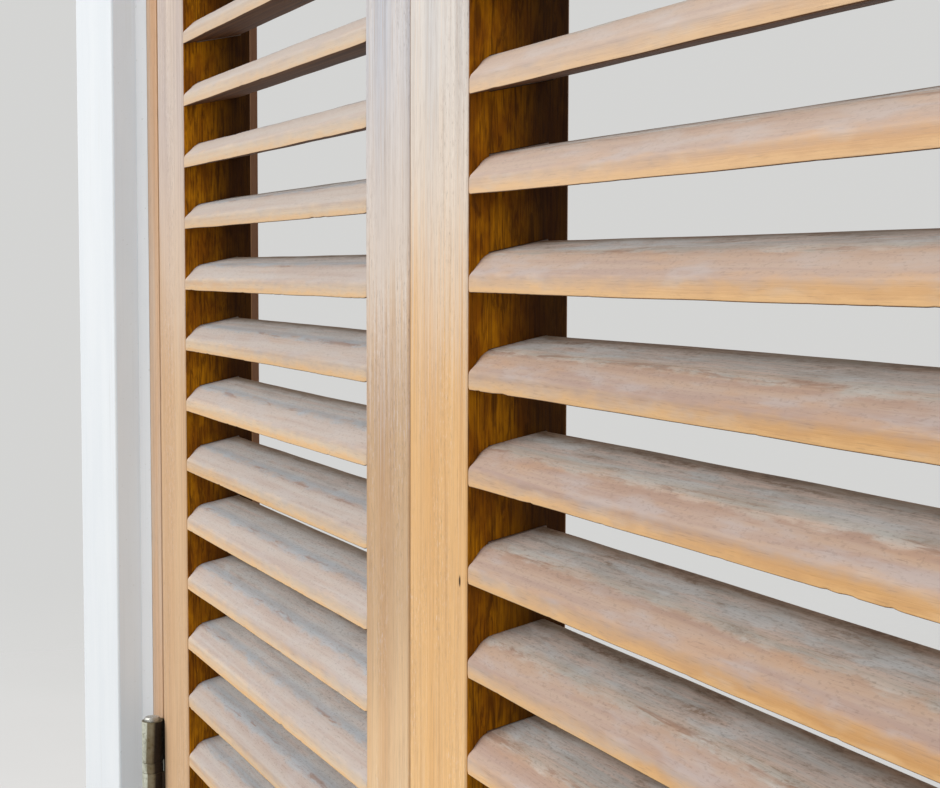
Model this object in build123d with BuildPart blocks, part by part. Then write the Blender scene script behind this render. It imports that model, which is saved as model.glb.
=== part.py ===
from build123d import *
from math import cos, radians, sin, tan
import os

# A pair of louvred shutter leaves hung in their frame. Sizes are in millimetres.
# X runs along the wall, -Y is outdoors and Z is up. The frame stands on Z = 0,
# centred on its opening along X and on the depth of its posts along Y.

# Leaves
leaf_width = 460.0
leaf_height = 1200.0
leaf_thickness = 44.0
hinge_stile = 68.0
left_meeting_stile = 54.0
right_meeting_stile = 62.0
rail_height = 85.0
rail_splay = 6.0
stile_arris = 1.5
meeting_bevel = 2.5

# Gaps round the leaves
meeting_gap = 1.0
hinge_gap = 3.0
sill_gap = 3.0
head_gap = 3.0
stop_gap = 0.5

# Joints of the leaves
tenon_length = 40.0
tenon_thickness = 14.0
tenon_shoulder = 12.0
tenon_fit = 0.1

# Louvres
louvre_pitch = 38.0
louvre_slope = 12.0
louvre_thickness = 13.3
louvre_reach = 34.6
nose_height = 7.2
nose_chamfer = 8.5
louvre_shoulder = 1.0
louvre_end_room = 5.0
left_louvre_drop = 4.0
housing_depth = 6.0
housing_fit = 0.15

# Posts, head and sill
post_width = 125.0
post_depth = 100.0
post_proud = 23.0
post_arris = 2.0
sill_height = 60.0
head_height = 60.0
sill_weathering = 7.0
drip_radius = 4.0
drip_inset = 12.0
beam_tenon_length = 50.0
beam_tenon_thickness = 32.0
beam_shoulder = 9.0

# Linings inside the posts, head and sill
side_lining = 34.0
end_lining = 25.0
stop_lap = 12.0
stop_depth = 20.0
cover_bead = 6.5

# Holes that fix the frame to a wall
fixing_diameter = 9.0
fixing_spacing = 960.0
fixing_sink_diameter = 22.0
fixing_sink_depth = 12.0

# Butt hinges
hinge_length = 100.0
hinge_inset = 245.0
pin_proud = 7.5
pin_diameter = 8.0
pin_play = 0.05
knuckle_diameter = 14.0
end_knuckle = 28.0
ring_height = 7.0
ring_play = 0.2
pin_head_diameter = 11.0
pin_head_height = 2.5
pin_chamfer = 1.0
plate_thickness = 3.0
plate_depth = 36.0
plate_front = 0.6
plate_hole_spacing = 36.0
plate_hole_stagger = 7.0
plate_hole_mouth = 8.2
plate_hole_diameter = 4.4

# Barrel bolts on the indoor face
bolt_inset = 22.0
bolt_travel = 24.0
bolt_diameter = 9.0
bolt_play = 0.1
bolt_axis_height = 9.0
case_width = 28.0
case_length = 80.0
case_thickness = 2.0
bridge_length = 12.0
bridge_wall = 3.0
rod_chamfer = 1.0
knob_diameter = 8.0
knob_height = 17.0
keeper_length = 36.0
keeper_width = 16.0
keeper_thickness = 2.0
keeper_play = 0.5
keeper_depth = 18.0
knob_room = 2.0

# Places that follow from the sizes
hinge_edge = meeting_gap / 2 + leaf_width
pin_x = hinge_edge + hinge_gap / 2
lining_x = hinge_edge + hinge_gap
post_x = lining_x + side_lining
front = -post_depth / 2
back = post_depth / 2
leaf_front = front + post_proud
leaf_back = leaf_front + leaf_thickness
pin_y = leaf_front - pin_proud
stop_front = leaf_back + stop_gap
lining_back = stop_front + stop_depth
sill_top = sill_height + end_lining
leaf_bottom = sill_top + sill_gap
leaf_top = leaf_bottom + leaf_height
head_soffit = leaf_top + head_gap
head_bottom = head_soffit + end_lining
post_height = head_bottom + head_height
opening_middle = (leaf_bottom + leaf_top) / 2

slope = tan(radians(louvre_slope))
louvre_upright = louvre_thickness / cos(radians(louvre_slope))
louvre_rise = louvre_reach * slope + louvre_upright
clear_height = leaf_height - 2 * rail_height
louvre_gaps = int((clear_height - louvre_rise - 2 * louvre_end_room) // louvre_pitch)
end_room = (clear_height - louvre_rise - louvre_gaps * louvre_pitch) / 2
first_louvre = leaf_bottom + rail_height + end_room

leaf_middle_y = (leaf_front + leaf_back) / 2
rail_middles = (leaf_bottom + rail_height / 2, leaf_top - rail_height / 2)
hinge_bottoms = {
    "lower": leaf_bottom + hinge_inset - hinge_length / 2,
    "upper": leaf_top - hinge_inset - hinge_length / 2,
}
sides = {"left": -1, "right": 1}
meeting_stiles = {"left": left_meeting_stile, "right": right_meeting_stile}
louvre_drops = {"left": left_louvre_drop, "right": 0.0}
os.makedirs("parts", exist_ok=True)


def save(piece, name):
    """Label one finished sub-part and write it to its own file."""
    piece.part.label = name
    export_step(piece.part, f"parts/{name}.step")


def block(x, y, z, mode=Mode.ADD):
    """A square-edged block between two values along each axis."""
    middle = tuple((low + high) / 2 for low, high in (x, y, z))
    with Locations(middle):
        Box(*(abs(high - low) for low, high in (x, y, z)), mode=mode)


def drill(at, along, radius, depth):
    """A plain round hole that starts at a point and runs along a direction."""
    with Locations(Plane(origin=at, z_dir=along)):
        Cylinder(radius, depth, align=(Align.CENTER, Align.CENTER, Align.MIN), mode=Mode.SUBTRACT)


def plate_hole_places(side, face_x, low):
    """Mouths of one hinge plate's three staggered screw holes."""
    middle_y = leaf_front + (plate_front + plate_depth) / 2
    return [
        (
            side * face_x,
            middle_y + stagger * plate_hole_stagger / 2,
            low + hinge_length / 2 + row * plate_hole_spacing,
        )
        for row, stagger in ((-1, -1), (0, 1), (1, -1))
    ]


# Posts, head and sill


def beam_tenons(side):
    """X stretch of the tenon that a beam puts into the post on one side."""
    return side * post_x, side * (post_x + beam_tenon_length)


def beam_mortise(side, low, high):
    """The blind hole in a post for the tenon of a beam between two heights."""
    block(
        (side * post_x, side * (post_x + beam_tenon_length + tenon_fit)),
        (-beam_tenon_thickness / 2 - tenon_fit, beam_tenon_thickness / 2 + tenon_fit),
        (low + beam_shoulder - tenon_fit, high - beam_shoulder + tenon_fit),
        Mode.SUBTRACT,
    )


head_middle = head_bottom + head_height / 2
fixing_heights = [opening_middle + step * fixing_spacing for step in (-0.5, 0.5)]

for name, side in sides.items():
    with BuildPart() as post:
        with BuildSketch():
            with Locations((side * (post_x + post_width / 2), 0)):
                RectangleRounded(post_width, post_depth, post_arris)
        extrude(amount=post_height)
        beam_mortise(side, 0, sill_height)
        beam_mortise(side, head_bottom, post_height)
        for height in fixing_heights:
            drill((side * post_x, 0, height), (side, 0, 0), fixing_diameter / 2, post_width)
    save(post, f"{name}_post")

with BuildPart() as sill:
    with BuildSketch(Plane.YZ.offset(-post_x)):
        Polygon(
            (front, 0),
            (back, 0),
            (back, sill_height),
            (leaf_front, sill_height),
            (front, sill_height - sill_weathering),
            align=None,
        )
        with Locations((front + drip_inset, 0)):
            Circle(drip_radius, mode=Mode.SUBTRACT)
    extrude(amount=2 * post_x)
    for side in sides.values():
        block(
            beam_tenons(side),
            (-beam_tenon_thickness / 2, beam_tenon_thickness / 2),
            (beam_shoulder, sill_height - beam_shoulder),
        )
save(sill, "sill")

with BuildPart() as head:
    with BuildSketch(Plane.YZ.offset(-post_x)):
        with Locations((0, head_middle)):
            Rectangle(post_depth, head_height)
    extrude(amount=2 * post_x)
    for side in sides.values():
        block(
            beam_tenons(side),
            (-beam_tenon_thickness / 2, beam_tenon_thickness / 2),
            (head_bottom + beam_shoulder, post_height - beam_shoulder),
        )
save(head, "head")

# Linings: each is a board with a stop behind the leaves

side_lip = hinge_gap + stop_lap
sill_lip = sill_gap + stop_lap
head_lip = head_gap + stop_lap
lip_x = lining_x - side_lip
bolt_y = leaf_back + bolt_axis_height


def bolt_x(name):
    """The bolts stand on the middle of the meeting stile."""
    return sides[name] * (meeting_gap + meeting_stiles[name]) / 2


for name, side in sides.items():
    with BuildPart() as lining:
        block((side * lining_x, side * post_x), (leaf_front, lining_back), (sill_height, head_bottom))
        block((side * lip_x, side * lining_x), (stop_front, lining_back), (sill_top, head_soffit))
        for height in fixing_heights:
            mouth = (side * lining_x, 0, height)
            drill(mouth, (side, 0, 0), fixing_diameter / 2, side_lining)
            drill(mouth, (side, 0, 0), fixing_sink_diameter / 2, fixing_sink_depth)
        for low in hinge_bottoms.values():
            block(
                (side * lining_x, side * (lining_x + plate_thickness)),
                (leaf_front, leaf_front + plate_depth),
                (low, low + hinge_length),
                Mode.SUBTRACT,
            )
    save(lining, f"{name}_lining")

    with BuildPart() as bead:
        with BuildSketch(Plane.XY.offset(sill_height)):
            Polygon(
                (side * post_x, leaf_front),
                (side * (post_x - cover_bead), leaf_front),
                (side * post_x, leaf_front - cover_bead),
                align=None,
            )
        extrude(amount=head_bottom - sill_height)
    save(bead, f"{name}_cover_bead")

lining_ends = {
    "sill": (sill_height, sill_top, sill_top + sill_lip, 1),
    "head": (head_bottom, head_soffit, head_soffit - head_lip, -1),
}
for end, (seat, face, lip, up) in lining_ends.items():
    with BuildPart() as lining:
        block((-lining_x, lining_x), (leaf_front, lining_back), (seat, face))
        block((-lip_x, lip_x), (stop_front, lining_back), (face, lip))
        for name in sides:
            bore = (bolt_x(name), bolt_y, lip)
            drill(bore, (0, 0, -up), bolt_diameter / 2 + keeper_play, keeper_depth)
    save(lining, f"{end}_lining")

# Leaves: stiles, rails and louvres


def louvre_outline(front_setback=0.0):
    """One louvre's section from its nose's lower edge. A setback leaves off the nose."""
    drop = louvre_thickness * cos(radians(louvre_slope))
    run = louvre_thickness * sin(radians(louvre_slope))
    ends = [(louvre_reach + run, louvre_rise - drop), (louvre_reach, louvre_rise)]
    if front_setback:
        lower = front_setback * slope
        return [(front_setback, lower), *ends, (front_setback, lower + louvre_upright)]
    return [(0, 0), *ends, (nose_chamfer, nose_chamfer * slope + louvre_upright), (0, nose_height)]


def louvre_sections(name, outline):
    """The same outline at every louvre of one leaf."""
    with Locations(*[
        (leaf_front, first_louvre - louvre_drops[name] + row * louvre_pitch)
        for row in range(louvre_gaps + 1)
    ]):
        Polygon(*outline, align=None)


tenon_outline = louvre_outline(nose_chamfer + louvre_shoulder)


def cut_stile(name, inner_x, side_out):
    """Mortises and louvre housings in a stile. side_out points into its wood."""
    half_y = tenon_thickness / 2 + tenon_fit
    half_z = rail_height / 2 - tenon_shoulder + tenon_fit
    for middle in rail_middles:
        block(
            (inner_x, inner_x + side_out * (tenon_length + tenon_fit)),
            (leaf_middle_y - half_y, leaf_middle_y + half_y),
            (middle - half_z, middle + half_z),
            Mode.SUBTRACT,
        )
    with BuildSketch(Plane.YZ.offset(inner_x)) as housings:
        louvre_sections(name, tenon_outline)
        offset(amount=housing_fit, kind=Kind.INTERSECTION)
    extrude(housings.sketch, amount=side_out * (housing_depth + housing_fit), mode=Mode.SUBTRACT)


for name, side in sides.items():
    meeting_edge = meeting_gap / 2
    meeting_inner = meeting_edge + meeting_stiles[name]
    hinge_inner = hinge_edge - hinge_stile

    with BuildPart() as stile:
        with BuildSketch(Plane.XY.offset(leaf_bottom)):
            with Locations((side * (hinge_edge + hinge_inner) / 2, leaf_middle_y)):
                RectangleRounded(hinge_stile, leaf_thickness, stile_arris)
        extrude(amount=leaf_height)
        cut_stile(name, side * hinge_inner, side)
        for low in hinge_bottoms.values():
            block(
                (side * (hinge_edge - plate_thickness), side * hinge_edge),
                (leaf_front, leaf_front + plate_depth),
                (low, low + hinge_length),
                Mode.SUBTRACT,
            )
    save(stile, f"{name}_hinge_stile")

    with BuildPart() as stile:
        with BuildSketch(Plane.XY.offset(leaf_bottom)):
            Polygon(
                (side * meeting_inner, leaf_front),
                (side * meeting_edge, leaf_front),
                (side * (meeting_edge + meeting_bevel), leaf_back),
                (side * meeting_inner, leaf_back),
                align=None,
            )
        extrude(amount=leaf_height)
        fillet(stile.edges().filter_by(Axis.Z), stile_arris)
        cut_stile(name, side * meeting_inner, -side)
    save(stile, f"{name}_meeting_stile")

    inner_ends = (side * meeting_inner, side * hinge_inner)
    tenon_ends = (side * (meeting_inner - tenon_length), side * (hinge_inner + tenon_length))
    for end, middle in zip(("bottom", "top"), rail_middles):
        low, high = middle - rail_height / 2, middle + rail_height / 2
        with BuildPart() as rail:
            with BuildSketch(Plane.YZ.offset(min(inner_ends))):
                splay = rail_splay if end == "bottom" else 0
                Polygon(
                    (leaf_front, low),
                    (leaf_back, low),
                    (leaf_back, high),
                    (leaf_front + 2 * splay, high),
                    (leaf_front, high - splay),
                    align=None,
                )
            extrude(amount=abs(inner_ends[1] - inner_ends[0]))
            block(
                tenon_ends,
                (leaf_middle_y - tenon_thickness / 2, leaf_middle_y + tenon_thickness / 2),
                (low + tenon_shoulder, high - tenon_shoulder),
            )
        save(rail, f"{name}_{end}_rail")

    with BuildPart() as louvres:
        with BuildSketch(Plane.YZ.offset(min(inner_ends))):
            louvre_sections(name, louvre_outline())
        extrude(amount=abs(inner_ends[1] - inner_ends[0]))
        with BuildSketch(Plane.YZ.offset(min(inner_ends) - housing_depth)):
            louvre_sections(name, tenon_outline)
        extrude(amount=abs(inner_ends[1] - inner_ends[0]) + 2 * housing_depth)
    save(louvres, f"{name}_louvres")


# Butt hinges: two plates let into the wood, three knuckles, two rings and a pin


def knuckle(side, towards, low, height):
    """One knuckle with the strap that joins it to its plate. towards is 1 for the frame's plate."""
    near = hinge_gap / 2
    with BuildSketch(Plane.XY.offset(low)) as section:
        with Locations((side * pin_x, pin_y)):
            Circle(knuckle_diameter / 2)
        strap_middle = side * (pin_x + towards * (near + plate_thickness / 2))
        strap_length = pin_proud + plate_front
        with Locations((strap_middle, pin_y + strap_length / 2)):
            Rectangle(plate_thickness, strap_length)
        with Locations((side * pin_x, pin_y)):
            Circle(pin_diameter / 2 + pin_play, mode=Mode.SUBTRACT)
    extrude(section.sketch, amount=height)


def hinge_plate(side, towards, low):
    """The flat plate with three tapered screw holes, wide at the face that shows in the gap."""
    face = pin_x + towards * hinge_gap / 2
    block(
        (side * face, side * (face + towards * plate_thickness)),
        (leaf_front + plate_front, leaf_front + plate_depth),
        (low, low + hinge_length),
    )
    for place in plate_hole_places(side, face, low):
        with Locations(Plane(origin=place, z_dir=(towards * side, 0, 0))):
            Cone(
                plate_hole_mouth / 2,
                plate_hole_diameter / 2,
                plate_thickness,
                align=(Align.CENTER, Align.CENTER, Align.MIN),
                mode=Mode.SUBTRACT,
            )


middle_knuckle = hinge_length - 2 * (end_knuckle + ring_height)

for name, side in sides.items():
    for level, low in hinge_bottoms.items():
        with BuildPart() as frame_plate:
            hinge_plate(side, 1, low)
            knuckle(side, 1, low, end_knuckle)
            knuckle(side, 1, low + hinge_length - end_knuckle, end_knuckle)
        save(frame_plate, f"{name}_{level}_hinge_frame_plate")

        with BuildPart() as leaf_plate:
            hinge_plate(side, -1, low)
            knuckle(side, -1, low + end_knuckle + ring_height, middle_knuckle)
        save(leaf_plate, f"{name}_{level}_hinge_leaf_plate")

        with BuildPart() as rings:
            for base in (low + end_knuckle, low + hinge_length - end_knuckle - ring_height):
                with BuildSketch(Plane.XY.offset(base + ring_play)):
                    with Locations((side * pin_x, pin_y)):
                        Circle(knuckle_diameter / 2)
                        Circle(pin_diameter / 2 + pin_play, mode=Mode.SUBTRACT)
                extrude(amount=ring_height - 2 * ring_play)
        save(rings, f"{name}_{level}_hinge_rings")

        with BuildPart() as pin:
            with BuildSketch(Plane(origin=(side * pin_x, pin_y, low), x_dir=(1, 0, 0), z_dir=(0, -1, 0))):
                head_top = hinge_length + pin_head_height
                Polygon(
                    (0, 0),
                    (pin_diameter / 2 - pin_chamfer, 0),
                    (pin_diameter / 2, pin_chamfer),
                    (pin_diameter / 2, hinge_length),
                    (pin_head_diameter / 2, hinge_length),
                    (pin_head_diameter / 2, head_top - pin_chamfer),
                    (pin_head_diameter / 2 - pin_chamfer, head_top),
                    (0, head_top),
                    align=None,
                )
            revolve(axis=Axis((side * pin_x, pin_y, low), (0, 0, 1)))
        save(pin, f"{name}_{level}_hinge_pin")


# Barrel bolts: a case with two bridges, a rod with its knob, and a keeper on the stop

case_bottoms = {"lower": leaf_bottom + bolt_inset, "upper": leaf_top - bolt_inset - case_length}


def bolt_case(name, case_bottom):
    """A flat case plate with a bridge over the rod at each end."""
    x = bolt_x(name)
    block(
        (x - case_width / 2, x + case_width / 2),
        (leaf_back, leaf_back + case_thickness),
        (case_bottom, case_bottom + case_length),
    )
    outer = bolt_diameter / 2 + bolt_play + bridge_wall
    for base in (case_bottom, case_bottom + case_length - bridge_length):
        with BuildSketch(Plane.XY.offset(base)) as section:
            with Locations((x, (leaf_back + bolt_y) / 2)):
                Rectangle(2 * outer, bolt_y - leaf_back)
            with Locations((x, bolt_y)):
                Circle(outer)
                Circle(bolt_diameter / 2 + bolt_play, mode=Mode.SUBTRACT)
        extrude(section.sketch, amount=bridge_length)


for name in sides:
    x = bolt_x(name)
    for level, case_bottom in case_bottoms.items():
        up = 1 if level == "upper" else -1
        tip = case_bottom + case_length if level == "upper" else case_bottom
        with BuildPart() as case:
            bolt_case(name, case_bottom)
        save(case, f"{name}_{level}_bolt_case")

        with BuildPart() as rod:
            with Locations(Plane(origin=(x, bolt_y, tip), z_dir=(0, 0, -up))):
                Cylinder(
                    bolt_diameter / 2,
                    case_length + bolt_travel,
                    align=(Align.CENTER, Align.CENTER, Align.MIN),
                )
            chamfer(rod.edges().group_by(Axis.Z)[0 if up < 0 else -1], rod_chamfer)
            knob_z = tip - up * (case_length - bridge_length - knob_diameter / 2 - knob_room)
            with Locations(Plane(origin=(x, bolt_y, knob_z), z_dir=(0, 1, 0))):
                Cylinder(knob_diameter / 2, knob_height, align=(Align.CENTER, Align.CENTER, Align.MIN))
        save(rod, f"{name}_{level}_bolt_rod")

        seat = sill_top + sill_lip if level == "lower" else head_soffit - head_lip
        with BuildPart() as keeper:
            block(
                (x - keeper_length / 2, x + keeper_length / 2),
                (bolt_y - keeper_width / 2, bolt_y + keeper_width / 2),
                (seat, seat - up * keeper_thickness),
            )
            bore = (x, bolt_y, seat - up * keeper_thickness)
            drill(bore, (0, 0, up), bolt_diameter / 2 + keeper_play, keeper_thickness)
        save(keeper, f"{name}_{level}_bolt_keeper")
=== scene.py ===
import bpy
import math
import random
from mathutils import Matrix, Vector, noise


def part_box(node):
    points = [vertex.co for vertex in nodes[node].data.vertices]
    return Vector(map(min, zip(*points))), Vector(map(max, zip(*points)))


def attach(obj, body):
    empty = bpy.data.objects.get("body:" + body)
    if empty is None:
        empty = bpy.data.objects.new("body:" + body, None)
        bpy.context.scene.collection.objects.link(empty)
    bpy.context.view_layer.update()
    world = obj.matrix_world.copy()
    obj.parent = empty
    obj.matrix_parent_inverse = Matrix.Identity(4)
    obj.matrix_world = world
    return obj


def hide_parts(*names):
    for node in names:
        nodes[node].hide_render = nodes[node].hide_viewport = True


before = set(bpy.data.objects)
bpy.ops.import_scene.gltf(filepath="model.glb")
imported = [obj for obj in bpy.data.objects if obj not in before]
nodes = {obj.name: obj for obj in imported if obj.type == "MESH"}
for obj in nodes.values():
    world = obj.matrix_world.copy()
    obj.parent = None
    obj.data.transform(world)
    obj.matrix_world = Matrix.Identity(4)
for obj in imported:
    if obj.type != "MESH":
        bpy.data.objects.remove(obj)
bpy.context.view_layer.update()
MM = 0.001

# Places of the frame and leaves, in metres
LEAF_FRONT, LEAF_BACK = -27 * MM, 17 * MM
HINGE_EDGE, LINING_X, POST_X = 460.5 * MM, 463.5 * MM, 497.5 * MM
LEAF_BOTTOM, LEAF_TOP = 88 * MM, 1288 * MM
SILL_FACE, HEAD_FACE = 85 * MM, 1291 * MM
POST_HEIGHT, POST_FRONT = 1376 * MM, 50 * MM
SIDES = {"left": -1, "right": 1}
JOINT = 0.5 * MM
MEETING_STILE = {"left": 54 * MM, "right": 62 * MM}
HINGE_STILE = 68 * MM

# Slats: their number, their spacing and how much lower one leaf's lie
LOUVRES, LOUVRE_PITCH = 27, 38 * MM
LOUVRE_DROP = {"left": 4 * MM, "right": 0.0}
LOUVRE_SEEDS = {"left": 11, "right": 29}
LOUVRE_STATIONS = 118
FIRST_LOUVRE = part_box("right_louvres")[0].z
# Section of a slat in mm: depth and height of its corners, and how far each is rounded
NOSE_FOOT, NOSE_TOP, CREASE, BACK_TOP, BACK_FOOT = range(5)
LOUVRE_CORNERS = [
    (0.0, 0.0, 0.7),
    (0.0, 7.2, 1.3),
    (8.5, 15.4, 3.2),
    (34.6, 20.95, 1.8),
    (37.37, 7.94, 1.2),
]
LOUVRE_DEPTH, LOUVRE_HEIGHT = 37.4, 20.95
# Corners of the stub tenon at each end of a slat, in mm, and how far it runs in and out of the stile's face
STUB_CORNERS = [(9.5, 2.02), (37.37, 7.94), (34.6, 20.95), (9.5, 15.62)]
STUB_BACK, STUB_REACH = 0.6 * MM, 5.9 * MM

# Fixings: diameters in mm, places in metres
HINGE_SCREW, LINING_SCREW, BOLT_SCREW = 8.0, 9.0, 5.6
LEAF_PEG, FRAME_PEG = 8.0, 12.0
LINING_SCREW_Y = -17 * MM
LINING_SCREW_HEIGHTS = (145 * MM, 558 * MM, 818 * MM, 1231 * MM)
BOLT_Y = 26 * MM
CASE_MIDDLES = (150 * MM, 1226 * MM)
CASE_FACE = LEAF_BACK + 2 * MM
KEEPER_FACES = ((102 * MM, 1), (1274 * MM, -1))
KNOB_HEIGHTS = {"lower": 172 * MM, "upper": 1204 * MM}
# Screws to each side of the middle of a bolt's case and of its keeper
CASE_SCREW_X, CASE_SCREW_Z, KEEPER_SCREW_X = 10.2 * MM, 22.4 * MM, 13 * MM
# Pegs: inset from a stile's edges, to each side of a rail's middle, and inset from a post's edge and ends
LEAF_PEG_INSET, LEAF_PEG_STEP, RAIL_MIDDLE = 17 * MM, 17 * MM, 42.5 * MM
FRAME_PEG_X = POST_X + 22 * MM
FRAME_PEG_INSETS = (19 * MM, 41 * MM)
# Screws of a hinge plate in mm: behind the leaf's front, to each side of that, up the plate, and how far sunk
HINGE_SCREW_DEPTH, HINGE_SCREW_STAGGER = 18.3, 3.5
HINGE_MIDDLE, HINGE_SCREW_RISE = 50, 36
HINGE_SCREW_SUNK = 0.05
# Rounded arrises of timber and of metal plates
WOOD_ARRIS, METAL_ARRIS = 0.5 * MM, 0.25 * MM
# Turned knob in mm: radius and height from the rod's axis
KNOB_PROFILE = (
    (0, 17.7), (3.0, 17.6), (4.7, 17.2), (5.5, 16.2), (5.9, 14.6), (6.0, 12.4), (5.8, 10.4),
    (5.2, 8.8), (4.6, 8.2), (4.2, 7.8), (4.2, 6.4), (3.9, 6.2),
)

# Weathering: the heights between which timber turns from gold to silver, and one small knot
SILVER_FROM, SILVER_FULL = 0.60, 0.715
KNOT = (56 * MM, LEAF_FRONT, 563.2 * MM)

# Studio: the lamps' places, aims, powers in watts, widths and colours, and the surround
LAMPS = (
    ("key", (-2.2, -3.9, 4.1), (0.0, 0.0, 0.66), 219.0, 5.0, (1.0, 0.99, 0.97)),
    ("fill", (3.6, -2.9, 1.9), (-0.2, 0.0, 0.66), 44.0, 4.0, (0.95, 0.975, 1.0)),
)
SKY_FRONT, SKY_BACK, SURROUND = (0.60, 0.62, 0.65, 1), (0.595, 0.585, 0.575, 1), (0.66, 0.66, 0.65, 1)
SKY_LOW, SKY_HIGH = 0.78, 1.32
FLOOR_SIZE, FLOOR_DROP = 14.0, 0.4 * MM

# Camera at the photograph's viewing angle: its place in metres, its turns in degrees and its lens in mm
CAMERA_PLACE = (0.6892, -0.2923, 0.6862)
CAMERA_YAW, CAMERA_PITCH, CAMERA_ROLL = 66.944, 4.046, 0.157
CAMERA_LENS, CAMERA_SENSOR = 66.95, 36.0


def inner_edges(name):
    """X of the two stile faces that a leaf's slats run between, from the middle outwards."""
    return SIDES[name] * (JOINT + MEETING_STILE[name]), SIDES[name] * (HINGE_EDGE - HINGE_STILE)


def rgb(red, green, blue):
    """A colour as it shows on screen, 0 to 255, as the linear value that shaders take."""
    def linear(value):
        value /= 255
        return value / 12.92 if value <= 0.04045 else ((value + 0.055) / 1.055) ** 2.4
    return (linear(red), linear(green), linear(blue), 1.0)


def along(axis, across, length):
    """Scales for a texture that is fine across the grain and long along it."""
    return tuple(length if axis == name else across for name in "XYZ")


class Nodes:
    """Short calls that each add to a node tree and give an output socket."""

    def __init__(self, tree):
        self.tree = tree

    def feed(self, node, key, value):
        """Link a socket to an input, or set the input's own value."""
        if isinstance(value, bpy.types.NodeSocket):
            self.tree.links.new(value, node.inputs[key])
        else:
            node.inputs[key].default_value = value

    def add(self, kind, links=(), out=0, **settings):
        node = self.tree.nodes.new(kind)
        for key, value in settings.items():
            setattr(node, key, value)
        for key, value in dict(links).items():
            self.feed(node, key, value)
        return node.outputs[out]

    def math(self, operation, a, b=0.0, clamp=False):
        return self.add("ShaderNodeMath", {0: a, 1: b}, operation=operation, use_clamp=clamp)

    def plus(self, *values):
        result = values[0]
        for value in values[1:]:
            result = self.math("ADD", result, value)
        return result

    def times(self, *values):
        result = values[0]
        for value in values[1:]:
            result = self.math("MULTIPLY", result, value)
        return result

    def minus(self, a, b):
        return self.math("SUBTRACT", a, b)

    def ramp(self, value, low, high, start=0.0, end=1.0, shape="LINEAR"):
        """A straight change from start to end as value goes from low to high."""
        links = {0: value, 1: low, 2: high, 3: start, 4: end}
        return self.add("ShaderNodeMapRange", links, interpolation_type=shape)

    def step(self, value, low, high, start=0.0, end=1.0):
        """A soft step from start to end as value goes from low to high."""
        return self.ramp(value, low, high, start, end, "SMOOTHSTEP")

    def between(self, value, low, high, soft):
        """1 from low to high and 0 outside, with soft steps just within."""
        return self.times(self.step(value, low, low + soft), self.step(value, high, high - soft))

    def vector(self, operation, a, b):
        return self.add("ShaderNodeVectorMath", {0: a, 1: b}, operation=operation)

    def stretch(self, place, scales):
        return self.vector("MULTIPLY", place, scales)

    def shift(self, place, offset):
        return self.vector("ADD", place, offset)

    def length(self, vector):
        return self.add("ShaderNodeVectorMath", {0: vector}, out="Value", operation="LENGTH")

    def axis(self, vector, name):
        return self.add("ShaderNodeSeparateXYZ", {0: vector}, out="XYZ".index(name))

    def same(self, value):
        """A vector or grey with one value three times."""
        return self.add("ShaderNodeCombineXYZ", {0: value, 1: value, 2: value})

    def mix(self, share, a, b, blend="MIX"):
        return self.add("ShaderNodeMix", {0: share, 6: a, 7: b}, out=2, data_type="RGBA", blend_type=blend)

    def over(self, colour, mask, low, high, share, other):
        """A second colour laid over the first, up to a share, as the mask goes from low to high."""
        return self.mix(self.step(mask, low, high, 0.0, share), colour, other)

    def tint(self, share, colour, factors):
        """A colour with its red, green and blue multiplied by three factors, where the share is 1."""
        return self.mix(share, colour, self.mix(1.0, colour, (*factors, 1), "MULTIPLY"))

    def brighten(self, colour, factor):
        return self.mix(1.0, colour, self.same(factor), "MULTIPLY")

    def noise(self, place, scales, detail, roughness=0.55, distortion=0.0):
        """Noise at one scale, or at a scale of its own for each axis."""
        if isinstance(scales, tuple):
            place, scales = self.stretch(place, scales), 1.0
        return self.add("ShaderNodeTexNoise", {
            "Vector": place, "Scale": scales, "Detail": detail,
            "Roughness": roughness, "Distortion": distortion,
        })

    def seen_as_background(self):
        """1 for what the camera sees, also by reflection or through glass, and 0 for light on the part."""
        path = self.tree.nodes.new("ShaderNodeLightPath")
        seen = path.outputs["Is Camera Ray"]
        for name in ("Is Glossy Ray", "Is Transmission Ray"):
            seen = self.math("MAXIMUM", seen, path.outputs[name])
        return seen


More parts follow.
